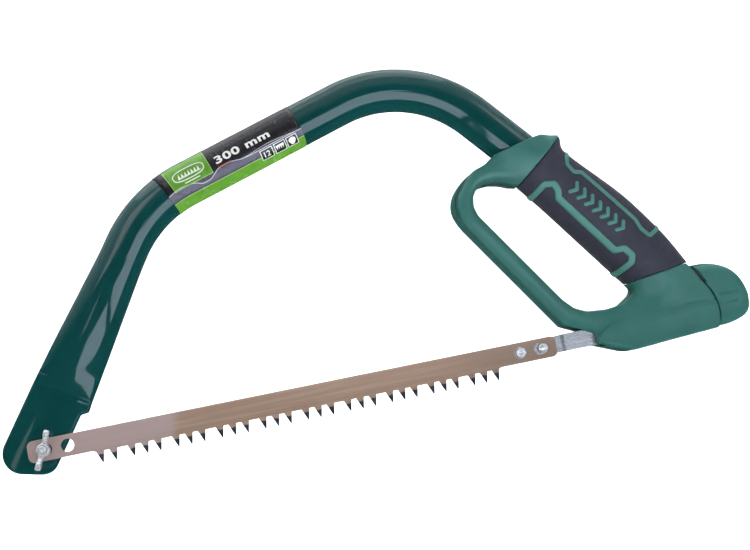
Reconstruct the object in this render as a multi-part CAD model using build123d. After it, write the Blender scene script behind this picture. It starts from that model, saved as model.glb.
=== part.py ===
from build123d import *
import os
from math import atan2, cos, degrees, radians, sin, tan

os.makedirs("parts", exist_ok=True)

# Millimetres. Profiles are drawn in the plane of the saw as (x, z) with the front bolt's axis
# at (0, 0), the blade along +X and its teeth down. The near side is -Y.
# Everything is moved at the end so that the origin is on the surface that the saw stands on.
MIDDLE_X = 204.0
FLOOR_Z = -14.0

# bent tube
TUBE_R = 13.1
TUBE_WALL = 1.5
BEND_R = 77.0
LEG_ANGLE = 56.5
LEG_FOOT = (-4.1, 0.0)
LEG_SECTIONS = [(125, 13.1, 13.1), (95, 14.5, 11.6), (62, 16.4, 7.4), (30, 18.0, 1.7)]
FRONT_BEND = (81.0, 128.5)
REAR_BEND = (253.5, 185.1)
GRIP_ANGLE = -48.6
GRIP_TOP_RUN = 69.8
TUBE_END = 112.0
NOSE_THICK = 3.0

# label round the tube, as distances along the straight after the front bend
LABEL_START = 13.0
LABEL_END = 101.5
LABEL_THICK = 0.2

# blade
BLADE_NEAR = -2.3
BLADE_FAR = -1.6
BLADE_FRONT = -8.9
BLADE_REAR = 306.8
BLADE_HALF = 6.25
TIP_Z = -13.5
GULLET_Z = -7.0
TOOTH_START = 23.8
TOOTH_PITCH = 7.5
GROUP_PITCH = 25.4
GROUPS = 10
HOLE_R = 3.7
HOLE_PITCH = 12.5
FRONT_HOLE = 0.9
REAR_HOLE = 296.5

# front bolt and wing nut
BOLT_R = 2.5
WING_ANGLE = 67.0

# drawbar and its pins
PIN_X = 298.2
STUD_X = 284.4
STRIP_NEAR = -1.5
STRIP_FAR = 0.0
BAR_INNER = 3.5
BAR_OUTER = 5.0
FOLLOWER_R = 2.5
TRAVEL = 1.8

# tension lever
PIVOT = (379.0, 2.0)
PIVOT_R = 3.0
FIT = 0.05
LEVER_SWING = 100.0
CAM_R = 11.7
CAM_GAP = 0.3
HUB_R = 5.0
ARM_NEAR = 5.6
ARM_FAR = 8.6
SEAM_R = 29.9
CAP_R = 30.4
CAP_HALF = 15.0

# handle
GUARD_HALF = 11.0
HOUSING_HALF = 15.0
CAVITY_HALF = 9.2
SLEEVE_THICK = 2.2
STRIPE_PROUD = 0.6
GRIP_STATIONS = [
    (14, -17.6, 20.0, 16.6),
    (42, -18.8, 17.9, 16.2),
    (79, -21.8, 19.2, 16.4),
    (112, -24.6, 16.4, 16.2),
    (150, -27.0, 8.0, 15.0),
]
COLLAR_LINE = [(345.0, 133.2), (286.0, 85.4)]
FOOT_LINE = [(345.0, 26.3), (404.0, 34.7)]
SCREWS = [(269.5, 95.5, 11), (286.0, 111.5, 11), (312.0, 22.0, 11), (341.0, 12.6, 11), (377.3, 26.5, 15)]


def toward(start, angle, distance):
    """The point at a distance from start along a direction in the plane of the saw."""
    return (start[0] + distance * cos(radians(angle)), start[1] + distance * sin(radians(angle)))


GRIP_TOP = toward(REAR_BEND, GRIP_ANGLE, GRIP_TOP_RUN)


def corners(points, closed=True):
    """Edges through (x, z) or (x, z, radius) points, with an arc at each point that has a radius."""
    pts = [p if len(p) == 3 else (p[0], p[1], 0) for p in points]
    ends = []
    for i, (x, z, r) in enumerate(pts):
        here = Vector(x, z)
        if r == 0:
            ends.append((here, here, here))
            continue
        back = (Vector(*pts[i - 1][:2]) - here).normalized()
        ahead = (Vector(*pts[(i + 1) % len(pts)][:2]) - here).normalized()
        half = radians(back.get_angle(ahead)) / 2
        middle = (back + ahead).normalized()
        reach = r / tan(half)
        ends.append((here + back * reach, here + middle * (r / sin(half) - r), here + ahead * reach))
    edges = []
    for i, (start, middle, end) in enumerate(ends):
        if (end - start).length > 1e-6:
            edges.append(ThreePointArc(start, middle, end))
        if i + 1 < len(ends) or closed:
            following = ends[(i + 1) % len(ends)][0]
            if (following - end).length > 1e-6:
                edges.append(Line(end, following))
    return edges


def profile(points):
    return make_face(corners(points))


def slab(shape, low, high):
    """A profile in the plane of the saw, made solid from y = low to y = high."""
    return Pos(0, high, 0) * extrude(Plane.XZ * shape, amount=high - low)


def both_sides(shape, low, high):
    return [slab(shape, low, high), slab(shape, -high, -low)]


def rod(x, z, radius, low, high):
    """A round bar across the saw."""
    return Pos(x, (low + high) / 2, z) * Rot(90, 0, 0) * Cylinder(radius, high - low)


def disc(x, z, radius):
    return Pos(x, z) * Circle(radius)


def band(points, width):
    """A strip of constant width along a polyline."""
    line = Polyline(*points)
    return trace(line, line_width=width)


def across(point, angle):
    """The plane square to the tube at a point, with its x along the plane of the saw."""
    a = radians(angle)
    return Plane(origin=(point[0], 0, point[1]), x_dir=(sin(a), 0, -cos(a)), z_dir=(cos(a), 0, sin(a)))


def grip_body(grow):
    """The grip's oval form, made larger or smaller by one distance all round."""
    ovals = []
    for s, front, back, half in GRIP_STATIONS:
        plane = across(toward(GRIP_TOP, GRIP_ANGLE, s), GRIP_ANGLE)
        middle = -(front + back) / 2
        ovals.append(plane * Pos(middle, 0) * Ellipse((back - front) / 2 + grow, half + grow))
    return loft(ovals)


def tube_path():
    start = toward(LEG_FOOT, LEG_ANGLE, LEG_SECTIONS[0][0])
    end = toward(GRIP_TOP, GRIP_ANGLE, TUBE_END)
    turns = [start, (*FRONT_BEND, BEND_R), (*REAR_BEND, BEND_R), end]
    return Wire([Plane.XZ * e for e in corners(turns, closed=False)])


def tube_run(radius):
    path = tube_path()
    start = toward(LEG_FOOT, LEG_ANGLE, LEG_SECTIONS[0][0])
    return sweep(across(start, LEG_ANGLE) * Circle(radius), path=path)


def leg_taper(inset, stations):
    ovals = []
    for s, wide, half in stations:
        plane = across(toward(LEG_FOOT, LEG_ANGLE, s), LEG_ANGLE)
        ovals.append(plane * Ellipse(wide - inset, half - inset))
    return loft(ovals)


def frame_tube():
    nose = profile(
        [
            (1.2, 40.2),
            (-31.0, -6.9, 12),
            (2.6, -15.1, 9),
            (23.6, 15.2, 1.5),
            (28.0, 15.6, 1),
            (31.2, 20.6),
        ]
    )
    outer = tube_run(TUBE_R) + leg_taper(0, LEG_SECTIONS)
    outer += slab(nose, -NOSE_THICK / 2, NOSE_THICK / 2)
    step = profile([(2.6, -15.1), (23.6, 15.2), (28.0, 15.6), (34, 25), (60, 0), (20, -30)])
    outer -= slab(step, -2.6, 2.6)
    bore = tube_run(TUBE_R - TUBE_WALL)
    inner = leg_taper(TUBE_WALL, LEG_SECTIONS[:3] + [(42, 17.4, 3.9)])
    tube = outer - bore - inner
    tube -= rod(0, 0, BOLT_R + FIT, -5, 5)
    pin = toward(GRIP_TOP, GRIP_ANGLE, 98)
    return tube - rod(*pin, 2 + FIT, -20, 20)


def tube_lock_pin():
    pin = toward(GRIP_TOP, GRIP_ANGLE, 98)
    return rod(*pin, 2, -13.6, 13.6)


def frame_label():
    ring = tube_run(TUBE_R + LABEL_THICK) - tube_run(TUBE_R)
    run = degrees(atan2(REAR_BEND[1] - FRONT_BEND[1], REAR_BEND[0] - FRONT_BEND[0]))
    middle = toward(FRONT_BEND, run, (LABEL_START + LABEL_END) / 2)
    block = Box(LABEL_END - LABEL_START, 60, 60)
    return ring & (Pos(middle[0], 0, middle[1]) * Rot(0, -run, 0) * block)


def blade():
    lower = [(BLADE_FRONT, -BLADE_HALF, 3.5), (TOOTH_START + TOOTH_PITCH - 5, -BLADE_HALF)]
    tips = [
        TOOTH_START + g * GROUP_PITCH + k * TOOTH_PITCH
        for g in range(GROUPS)
        for k in range(3)
        if g or k
    ]
    for tip in tips:
        lower += [(tip - 3.1, GULLET_Z), (tip - 0.3, TIP_Z), (tip + 0.3, TIP_Z), (tip + 1.5, GULLET_Z)]
    lower += [(tips[-1] + 3, -BLADE_HALF), (BLADE_REAR, -BLADE_HALF, 3.5)]
    outline = profile(lower + [(BLADE_REAR, BLADE_HALF, 3.5), (BLADE_FRONT, BLADE_HALF, 3.5)])
    for x in (FRONT_HOLE, FRONT_HOLE + HOLE_PITCH, REAR_HOLE - HOLE_PITCH, REAR_HOLE):
        outline -= disc(x, 0, HOLE_R)
    return slab(outline, BLADE_NEAR, BLADE_FAR)


def front_bolt():
    head = Pos(0, 3.1, 0) * Rot(-90, 0, 0) * Cone(6.2, 4.2, 3.2)
    return rod(0, 0, BOLT_R, -9.6, 1.7) + head


def wing_nut():
    hub = Pos(0, -5.4, 0) * Rot(90, 0, 0) * Cone(4.1, 3.5, 6.0)
    ear = profile(
        [
            (2.4, -3.6),
            (7.4, -3.8, 3),
            (11.6, -6.4, 2.4),
            (11.6, -12.0, 2.2),
            (7.6, -12.0, 2.2),
            (5.4, -8.8, 3),
            (2.4, -8.2),
        ]
    )
    wing = extrude(ear, amount=1.1, both=True)
    wings = wing + Rot(0, 180, 0) * wing
    nut = hub + Rot(0, -WING_ANGLE, 0) * wings
    return nut - rod(0, 0, BOLT_R + FIT, -12, 0)


def blade_pin():
    return rod(PIN_X, 0, 2, -2.4, 0.9) + rod(PIN_X, 0, 3.05, -3.9, -2.4)


def locating_stud():
    return rod(STUD_X, 0, 3.2, -2.7, 0.9)


def drawbar():
    strip = slab(profile([(277, -5, 2.5), (313, -4.4), (313, 6), (277, 5, 2.5)]), STRIP_NEAR, STRIP_FAR)
    strip -= rod(PIN_X, 0, 2 + FIT, -5, 5)
    strip -= rod(STUD_X, 0, 3.2 + FIT, -5, 5)
    wall = profile(
        [(311.5, -4.4), (352, -4.4), (362, -6), (398, -6, 5), (398, 10, 5), (362, 10), (352, 6), (311.5, 6)]
    )
    slot = profile(
        [
            (PIVOT[0] - HUB_R - 0.4, PIVOT[1] - HUB_R - 0.4, 5.3),
            (PIVOT[0] + HUB_R + TRAVEL + 0.4, PIVOT[1] - HUB_R - 0.4, 5.3),
            (PIVOT[0] + HUB_R + TRAVEL + 0.4, PIVOT[1] + HUB_R + 0.4, 5.3),
            (PIVOT[0] - HUB_R - 0.4, PIVOT[1] + HUB_R + 0.4, 5.3),
        ]
    )
    walls = both_sides(wall - slot, BAR_INNER, BAR_OUTER)
    front = slab(profile([(311.5, -4.4), (313, -4.4), (313, 6), (311.5, 6)]), -BAR_OUTER, BAR_OUTER)
    roof = slab(profile([(311.5, 4.5), (350, 4.5), (350, 6), (311.5, 6)]), -BAR_OUTER, BAR_OUTER)
    bar = strip + walls[0] + walls[1] + front + roof
    return bar - rod(follower_x(), PIVOT[1], FOLLOWER_R + FIT, -6, 6)


def follower_x():
    return PIVOT[0] + CAM_R + CAM_GAP + FOLLOWER_R


def cam_follower():
    return rod(follower_x(), PIVOT[1], FOLLOWER_R, -BAR_OUTER, BAR_OUTER)


def pivot_pin():
    return rod(*PIVOT, PIVOT_R, -12.5, 12.5)


def cam_outline():
    """A spiral whose radius falls evenly as the lever opens, closed by a round back."""
    spiral = []
    for angle in range(-10, 111, 10):
        radius = CAM_R - TRAVEL * angle / LEVER_SWING
        spiral.append(toward(PIVOT, angle, radius))
    first, last = spiral[0], spiral[-1]
    back = toward(PIVOT, 230, HUB_R + 2)
    return make_face([Spline(*spiral), ThreePointArc(last, back, first)])


def lever_yoke():
    arm = profile(
        [
            toward(PIVOT, 150, 6) + (2,),
            toward(PIVOT, 62, 20) + (6,),
            toward(PIVOT, 46, 42) + (4,),
            toward(PIVOT, 2, 46) + (4,),
            toward(PIVOT, -20, 10) + (5,),
            toward(PIVOT, 215, 7) + (2,),
        ]
    )
    hub = disc(*PIVOT, HUB_R)
    arms = both_sides(arm + disc(*PIVOT, HUB_R + 3), ARM_NEAR, ARM_FAR)
    core = slab(cam_outline(), -3, 3) + slab(hub, -ARM_FAR, ARM_FAR) + arms[0] + arms[1]
    core -= rod(*PIVOT, PIVOT_R + FIT, -20, 20)
    for x, z in cap_rivet_spots():
        core -= rod(x, z, 1.5 + FIT, -20, 20)
    return core


def cap_rivet_spots():
    return [toward(PIVOT, 40, 37), toward(PIVOT, 8, 38)]


def cap_rivets():
    rivets = [rod(x, z, 1.5, -12.2, 12.2) for x, z in cap_rivet_spots()]
    return Compound(children=rivets)


def lever_cap():
    outline = profile(
        [
            (380.0, 32.2),
            (411.0, 31.0, 12),
            (425.5, 24.0, 9),
            (432.6, 9.0, 16),
            (430.6, -4.0, 7),
            (418.0, -8.0, 10),
            (390.0, -8.6),
        ]
    )
    front = disc(*PIVOT, CAP_R) + profile([PIVOT, (404.6, 18.8), (400.4, 33.0), (370, 60)])
    body = soften(slab(outline, -CAP_HALF, CAP_HALF), CAP_HALF, 6.0)
    body -= slab(front, -20, 20)
    for side in both_sides(arm_pocket(), ARM_NEAR - FIT, ARM_FAR + FIT):
        body -= side
    for x, z in cap_rivet_spots():
        body -= rod(x, z, 1.5 + FIT, -12.3, 12.3)
    return body


def arm_pocket():
    return profile(
        [
            toward(PIVOT, 78, 12),
            toward(PIVOT, 62, 30),
            toward(PIVOT, 47, 43) + (4,),
            toward(PIVOT, 1.5, 47) + (4,),
            toward(PIVOT, -14, 28),
            toward(PIVOT, -30, 12),
        ]
    )


def guard_loop():
    """The D-shaped guard, from inside the collar round to the foot of the grip."""
    outline = profile(
        [
            (311.0, 124.0),
            (272.0, 114.0, 14),
            (257.5, 92.5, 14),
            (313.2, 9.6, 2),
            (330.0, 3.0, 4),
            (345.0, -6.0, 4),
            (388.0, -6.0, 4),
            (394.0, 30.0, 4),
            (380.0, 34.0, 4),
            (357.6, 33.0, 3),
            (358.6, 16.2, 9),
            (322.0, 17.4, 16),
            (269.5, 91.2, 11),
            (290.0, 109.6, 12),
            (314.0, 97.5),
        ]
    )
    return soften(slab(outline, -GUARD_HALF, GUARD_HALF), GUARD_HALF, 4.2)


def soften(body, half, radius):
    """Rounds the long edges round both flat sides of a slab."""
    rims = [f for f in body.faces().filter_by(Axis.Y) if abs(abs(f.center().Y) - half) < 0.01]
    return fillet([e for f in rims for e in f.edges()], radius)


def housing():
    outline = profile(
        [
            (331.5, 4.0, 3),
            (331.5, -3.8, 2.5),
            (351.5, -12.0, 12),
            (425.0, -8.0, 4),
            (425.0, 34.0, 4),
            (392.0, 34.0, 8),
            (366.0, 14.5, 14),
            (345.0, 10.5, 10),
        ]
    )
    seam = [(300, -40), PIVOT, (404.0, 18.6), (398.4, 33.2), (390, 90), (300, 90)]
    rear = disc(*PIVOT, SEAM_R) + profile(seam)
    rear += profile([(300, -40), PIVOT, (383, -40)])
    body = soften(slab(outline, -HOUSING_HALF, HOUSING_HALF), HOUSING_HALF, 5.0)
    body += grip_body(0.2) & slab(profile([*FOOT_LINE, (404, 10), (345, 10)]), -30, 30)
    return body & slab(rear, -20, 20)


def collar():
    region = profile([(291.0, 116.5), (293.6, 120.6), (322.5, 128.0), (337.6, 127.2), *COLLAR_LINE])
    return grip_body(0.4) & slab(region, -30, 30)


def sleeve_region():
    return profile([*COLLAR_LINE, *FOOT_LINE, (425.0, 60.0)])


def handle_body():
    core = grip_body(-SLEEVE_THICK) & slab(sleeve_region(), -30, 30)
    body = guard_loop() + collar() + housing() - slab(sleeve_region(), -30, 30)
    body += core
    a = radians(GRIP_ANGLE)
    bore_middle = toward(GRIP_TOP, GRIP_ANGLE, 56)
    bore_plane = Plane(origin=(bore_middle[0], 0, bore_middle[1]), z_dir=(cos(a), 0, sin(a)))
    body -= bore_plane * Cylinder(TUBE_R + FIT, 2 * (TUBE_END + 0.3 - 56))
    slot = [(320, -5.4), (353, -5.4), (362, -7), (400, -7), (400, 11), (362, 11), (350, 7), (320, 7)]
    body -= slab(profile(slot), -5.4, 5.4)
    sweep_out = disc(*PIVOT, CAP_R + 1) & profile(
        [
            PIVOT,
            toward(PIVOT, 62, 50),
            toward(PIVOT, 20, 80),
            toward(PIVOT, -60, 80),
            toward(PIVOT, -128, 60),
        ]
    )
    sweep_out += profile(
        [
            toward(PIVOT, 155, 10),
            toward(PIVOT, 78, 14),
            toward(PIVOT, 66, 22.5),
            toward(PIVOT, 48.5, 45),
            toward(PIVOT, 0, 50),
            toward(PIVOT, -20, 31),
            toward(PIVOT, -150, 10),
        ]
    )
    body -= slab(sweep_out + disc(*PIVOT, 13), -CAVITY_HALF, CAVITY_HALF)
    body -= rod(*PIVOT, PIVOT_R + FIT, -12.6, 12.6)
    pin = toward(GRIP_TOP, GRIP_ANGLE, 98)
    body -= rod(*pin, 2 + FIT, -13.7, 13.7)
    for x, z, half in SCREWS:
        body -= rod(x, z, 1.5 + FIT, -half + 3, half)
        body -= rod(x, z, 3.2 + FIT, half - 3.5, half + 2)
    return body


def half_of(body, near):
    block = Box(700, 60, 500)
    return body & (Pos(250, -30 if near else 30, 60) * block)


def handle_screws():
    screws = []
    for x, z, half in SCREWS:
        shank = rod(x, z, 1.5, -half + 3.1, half - 3.4)
        screws.append(shank + rod(x, z, 3.2, half - 3.5, half - 1.2))
    return Compound(children=screws)


def grip_sleeve():
    shell = grip_body(0) - grip_body(-SLEEVE_THICK)
    return shell & slab(sleeve_region(), -30, 30)


def raised(shape):
    """A flat pattern wrapped on the grip's surface and standing a little proud of it."""
    skin = grip_body(STRIPE_PROUD) - grip_body(0)
    return skin & slab(shape, -30, 30)


FRONT_STRIPE = [
    (295.0, 80.0),
    (304.8, 87.6),
    (314.6, 98.2),
    (319.6, 97.4),
    (325.0, 89.0),
    (350.1, 51.4),
    (355.4, 50.6),
    (361.2, 45.4),
    (361.0, 40.4),
    (348.0, 32.6),
    (338.0, 27.0),
]
BACK_STRIPE = [
    (345.0, 121.0),
    (334.4, 111.0),
    (333.4, 105.4),
    (336.8, 101.2),
    (341.4, 99.8),
    (368.6, 62.4),
    (370.6, 56.0),
    (376.2, 52.4),
    (384.0, 58.0),
    (395.0, 66.0),
]
STRIPE_WIDTH = 3.6


def grip_emblem():
    """Seven raised chevrons in a row down each side of the grip."""
    start, end = (334.0, 95.5), (361.0, 57.5)
    run = degrees(atan2(end[1] - start[1], end[0] - start[0]))
    marks = []
    for k in range(7):
        tip = toward(start, run, 7.6 * k)
        upper = toward(tip, run + 120, 4.4)
        lower = toward(tip, run - 120, 4.4)
        marks.append(raised(band([upper, tip, lower], 1.9)))
    return Compound(children=[s for m in marks for s in m.solids()])


HANDLE = handle_body()
NODES = {
    "frame_tube": frame_tube(),
    "frame_label": frame_label(),
    "tube_lock_pin": tube_lock_pin(),
    "blade": blade(),
    "front_bolt": front_bolt(),
    "wing_nut": wing_nut(),
    "blade_pin": blade_pin(),
    "locating_stud": locating_stud(),
    "drawbar": drawbar(),
    "cam_follower": cam_follower(),
    "pivot_pin": pivot_pin(),
    "lever_yoke": lever_yoke(),
    "lever_cap": lever_cap(),
    "cap_rivets": cap_rivets(),
    "handle_shell_near": half_of(HANDLE, True),
    "handle_shell_far": half_of(HANDLE, False),
    "handle_screws": handle_screws(),
    "grip_sleeve": grip_sleeve(),
    "grip_stripe_front": raised(band(FRONT_STRIPE, STRIPE_WIDTH)),
    "grip_stripe_back": raised(band(BACK_STRIPE, STRIPE_WIDTH)),
    "grip_emblem": grip_emblem(),
}

for name, shape in NODES.items():
    export_step(Pos(-MIDDLE_X, 0, -FLOOR_Z) * shape, f"parts/{name}.step")
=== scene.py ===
import math

import bmesh
import bpy
import numpy as np
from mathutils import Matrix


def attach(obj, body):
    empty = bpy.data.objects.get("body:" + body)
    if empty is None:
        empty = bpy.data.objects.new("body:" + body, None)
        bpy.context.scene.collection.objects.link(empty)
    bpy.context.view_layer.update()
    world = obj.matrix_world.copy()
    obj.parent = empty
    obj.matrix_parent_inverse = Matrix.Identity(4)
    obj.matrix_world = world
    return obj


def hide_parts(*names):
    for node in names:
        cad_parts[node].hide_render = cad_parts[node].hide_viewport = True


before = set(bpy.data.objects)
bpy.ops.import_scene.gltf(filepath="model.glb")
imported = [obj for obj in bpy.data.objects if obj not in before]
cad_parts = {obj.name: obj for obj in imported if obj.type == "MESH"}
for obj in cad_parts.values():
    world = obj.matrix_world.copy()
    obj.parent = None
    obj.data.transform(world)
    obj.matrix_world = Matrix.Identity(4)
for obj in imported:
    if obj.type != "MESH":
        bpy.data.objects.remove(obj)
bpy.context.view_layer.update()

import openvdb
from mathutils import Quaternion, Vector

# Shapes are drawn in millimetres in the plane of the saw: (x, z) from the front bolt's axis, the blade
# along +X, the near side -Y. place() takes them to metres in the row frame, whose origin is on the floor.
MIDDLE_X = 204.0
FLOOR_Z = -14.0
MM = 0.001


def place(points):
    """Points in the saw's own millimetres, taken to metres in the row frame."""
    moved = np.array(points, float).reshape(-1, 3)
    moved[:, 0] -= MIDDLE_X
    moved[:, 2] -= FLOOR_Z
    return moved * MM


# ---------------------------------------------------------------- dimensions shared with the CAD
TUBE_R = 13.1
BEND_R = 77.0
LEG_FOOT = (-4.1, 0.0)
LEG_ANGLE = 56.5
FRONT_BEND = (81.0, 128.5)
REAR_BEND = (253.5, 185.1)
GRIP_ANGLE = -48.6
TUBE_END = 112.0
NOSE = [(1.2, 40.2), (-31.0, -6.9, 12), (2.6, -15.1, 9), (23.6, 15.2, 1.5), (28.0, 15.6, 1), (31.2, 20.6)]
LABEL_START, LABEL_END = 13.0, 101.5
LABEL_R = TUBE_R + 0.2
LABEL_ANGLE = math.degrees(math.atan2(REAR_BEND[1] - FRONT_BEND[1], REAR_BEND[0] - FRONT_BEND[0]))
PIVOT = (379.0, 2.0)
SEAM_R, CAP_R = 29.9, 30.4
HOUSING_HALF, CAP_HALF, GUARD_HALF, CAVITY_HALF = 15.0, 15.0, 11.0, 9.2
BOLT_R = 2.5
WING_ANGLE = 67.0
PIN_X, STUD_X = 298.2, 284.4
SLEEVE_THICK = 2.2
GRIP_STATIONS = [  # distance along the grip, front edge, back edge, half thickness
    (14, -17.6, 20.0, 16.6),
    (42, -18.8, 17.9, 16.2),
    (79, -21.8, 19.2, 16.4),
    (112, -24.6, 16.4, 16.2),
    (150, -27.0, 8.0, 15.0),
]
COLLAR_LINE = [(345.0, 133.2), (286.0, 85.4)]
FOOT_LINE = [(345.0, 26.3), (404.0, 34.7)]
# x, z and half thickness of the moulding at each screw
SCREWS = [(269.5, 95.5, 11), (286.0, 111.5, 11), (312.0, 22.0, 11), (341.0, 12.6, 11), (377.3, 26.5, 15)]
FRONT_STRIPE = [
    (297.0, 80.5), (308.4, 89.2), (317.6, 96.7), (323.2, 95.8), (325.0, 91.3), (324.6, 87.0), (352.4, 49.3),
    (357.7, 49.3), (361.8, 44.3), (360.8, 40.1), (349.6, 33.5), (338.0, 25.5),
]
BACK_STRIPE = [
    (345.0, 121.0), (335.6, 110.6), (334.2, 106.3), (337.2, 100.9), (342.4, 100.0), (368.8, 65.5),
    (370.7, 59.3), (375.4, 54.0), (383.0, 57.6), (395.0, 66.0),
]


def toward(start, angle, distance):
    a = math.radians(angle)
    return (start[0] + distance * math.cos(a), start[1] + distance * math.sin(a))


GRIP_TOP = toward(REAR_BEND, GRIP_ANGLE, 69.8)


def rounded(points, closed=True, steps=10):
    """A polyline through (x, z) or (x, z, radius) points, with an arc where a radius is given."""
    line = []
    count = len(points)
    for i, p in enumerate(points):
        here = np.array(p[:2], float)
        if len(p) < 3 or p[2] == 0 or (not closed and i in (0, count - 1)):
            line.append(here)
            continue
        back = np.array(points[i - 1][:2], float) - here
        ahead = np.array(points[(i + 1) % count][:2], float) - here
        back /= np.linalg.norm(back)
        ahead /= np.linalg.norm(ahead)
        half = math.acos(np.clip(back @ ahead, -1, 1)) / 2
        middle = (back + ahead) / np.linalg.norm(back + ahead)
        centre = here + middle * p[2] / math.sin(half)
        start = here + back * p[2] / math.tan(half) - centre
        turn = math.pi - 2 * half
        if start[0] * -back[1] + start[1] * back[0] < 0:
            turn = -turn
        for k in range(steps + 1):
            c, s = math.cos(turn * k / steps), math.sin(turn * k / steps)
            line.append(centre + np.array([c * start[0] - s * start[1], s * start[0] + c * start[1]]))
    return np.array(line)


# ---------------------------------------------------------------- distance fields
FAR = 1e9
FIELD_LIMIT = 4.0  # distances past this many millimetres aren't kept
HANDLE_GRID, CAP_GRID, MARK_GRID, NUT_GRID = 0.6, 0.5, 0.4, 0.2


def segment_distance2(a, b, x, z):
    """The square of the distance from each (x, z) to the segment from a to b."""
    edge = b - a
    u, w = x - a[0], z - a[1]
    t = np.clip((u * edge[0] + w * edge[1]) / (edge @ edge), 0, 1)
    return (u - t * edge[0]) ** 2 + (w - t * edge[1]) ** 2


def outline_distance(points, x, z):
    """Distance to a closed outline at each (x, z), negative inside."""
    pts = rounded(points)
    near = np.full(x.shape, FAR, np.float32)
    inside = np.zeros(x.shape, bool)
    for a, b in zip(pts, np.roll(pts, -1, axis=0)):
        edge = b - a
        if edge @ edge < 1e-9:
            continue
        near = np.minimum(near, segment_distance2(a, b, x, z))
        if edge[1]:
            crossed = x - a[0] < edge[0] * (z - a[1]) / edge[1]
            inside ^= ((a[1] > z) != (b[1] > z)) & crossed
    return np.where(inside, -1, 1) * np.sqrt(near)


def eased(q, w, edge):
    """Two distances at right angles joined into a solid with rounded edges."""
    q, w = q + edge, w + edge
    return np.minimum(np.maximum(q, w), 0) + np.hypot(np.maximum(q, 0), np.maximum(w, 0)) - edge


class Block:
    """A box of space, sampled on a regular grid, in which shapes are given by their distances."""

    def __init__(self, low, high, step):
        self.step = step
        self.low = np.array(low, np.float32)
        self.axes = [np.arange(a, b + step, step, dtype=np.float32) for a, b in zip(low, high)]
        x, y, z = self.axes
        self.x2, self.z2 = np.meshgrid(x, z, indexing="ij")
        self.x, self.z = self.x2[:, None, :], self.z2[:, None, :]
        self.y = y[None, :, None]

    def outline(self, points):
        """Distance in the plane of the saw to a closed outline, negative inside."""
        return outline_distance(points, self.x2, self.z2)

    def strip(self, points, half):
        """Distance in the plane to a band of constant half width along an open line."""
        near = np.full(self.x2.shape, FAR, np.float32)
        pts = rounded(points, closed=False)
        for a, b in zip(pts[:-1], pts[1:]):
            near = np.minimum(near, segment_distance2(a, b, self.x2, self.z2))
        return np.sqrt(near) - half

    def disc(self, centre, radius):
        return np.hypot(self.x2 - centre[0], self.z2 - centre[1]) - radius

    def slab(self, flat, half, edge=0.0, middle=0.0):
        """A plane shape made thick, half to each side of y = middle, with rounded long edges."""
        half = half if np.isscalar(half) else half[:, None, :]
        return eased(flat[:, None, :], np.abs(self.y - middle) - half, edge)

    def grip_axes(self):
        """Distance along the grip's line from its top, and across that line."""
        a = math.radians(GRIP_ANGLE)
        u, w = self.x2 - GRIP_TOP[0], self.z2 - GRIP_TOP[1]
        return u * math.cos(a) + w * math.sin(a), -u * math.sin(a) + w * math.cos(a)

    def grip(self, grow):
        """The grip's oval form, which swells and narrows along the tube's line."""
        s, n = self.grip_axes()
        table = np.array(GRIP_STATIONS, float)
        front, back, half = (smooth_table(table[:, 0], table[:, k], s) for k in (1, 2, 3))
        (x0, z0), (x1, z1) = COLLAR_LINE
        off = ((self.x2 - x0) * (z1 - z0) - (self.z2 - z0) * (x1 - x0)) / math.dist(*COLLAR_LINE)
        back = back + 5.0 * np.exp(-((off / 4.2) ** 2))
        middle, wide, half = (front + back) / 2, (back - front) / 2 + grow, half + grow
        p, q = (n - middle)[:, None, :], self.y
        wide, half = wide[:, None, :], half[:, None, :]
        k1 = np.sqrt((p / wide) ** 2 + (q / half) ** 2)
        k2 = np.sqrt((p / wide**2) ** 2 + (q / half**2) ** 2)
        return k1 * (k1 - 1) / np.maximum(k2, 1e-6)

    def skin(self, distance):
        """The surface at distance zero, as points in millimetres and quads."""
        shape = tuple(len(axis) for axis in self.axes)
        field = np.clip(np.broadcast_to(distance, shape), -FIELD_LIMIT, FIELD_LIMIT)
        field = np.ascontiguousarray(field, np.float32)
        for axis in range(3):
            ends = [slice(None)] * 3
            for end in (0, -1):
                ends[axis] = end
                field[tuple(ends)] = FIELD_LIMIT
        grid = openvdb.FloatGrid(FIELD_LIMIT)
        grid.copyFromArray(field)
        points, quads = grid.convertToQuads(isovalue=0.0)
        return points * self.step + self.low, quads[:, ::-1]


def smooth_table(at, values, s):
    """Values given at a few stations, joined by a smooth curve that doesn't overshoot."""
    at, values = np.asarray(at, float), np.asarray(values, float)
    rise = np.diff(values) / np.diff(at)
    slope = np.zeros(len(at))
    for i in range(1, len(at) - 1):
        if rise[i - 1] * rise[i] > 0:
            slope[i] = 2 * rise[i - 1] * rise[i] / (rise[i - 1] + rise[i])
    slope[0], slope[-1] = rise[0], rise[-1]
    s = np.asarray(s, float)
    i = np.clip(np.searchsorted(at, s) - 1, 0, len(at) - 2)
    h = at[i + 1] - at[i]
    t = np.clip((s - at[i]) / h, 0, 1)
    curve = (
        (2 * t**3 - 3 * t**2 + 1) * values[i]
        + (t**3 - 2 * t**2 + t) * h * slope[i]
        + (3 * t**2 - 2 * t**3) * values[i + 1]
        + (t**3 - t**2) * h * slope[i + 1]
    )
    return curve


def join(a, b, k):
    """Union of two shapes with a fillet of about k between them."""
    h = np.maximum(k - np.abs(a - b), 0) / k
    return np.minimum(a, b) - h * h * k / 4


def cut(a, b, k=0.6):
    """a without b, with the new edge eased by about k."""
    return -join(-a, b, k)


def keep(a, b, k=0.6):
    """The part of a inside b, with the new edge eased by about k."""
    return -join(-a, -b, k)


# ---------------------------------------------------------------- materials
NOISE_ROUGHNESS = 0.55


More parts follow.
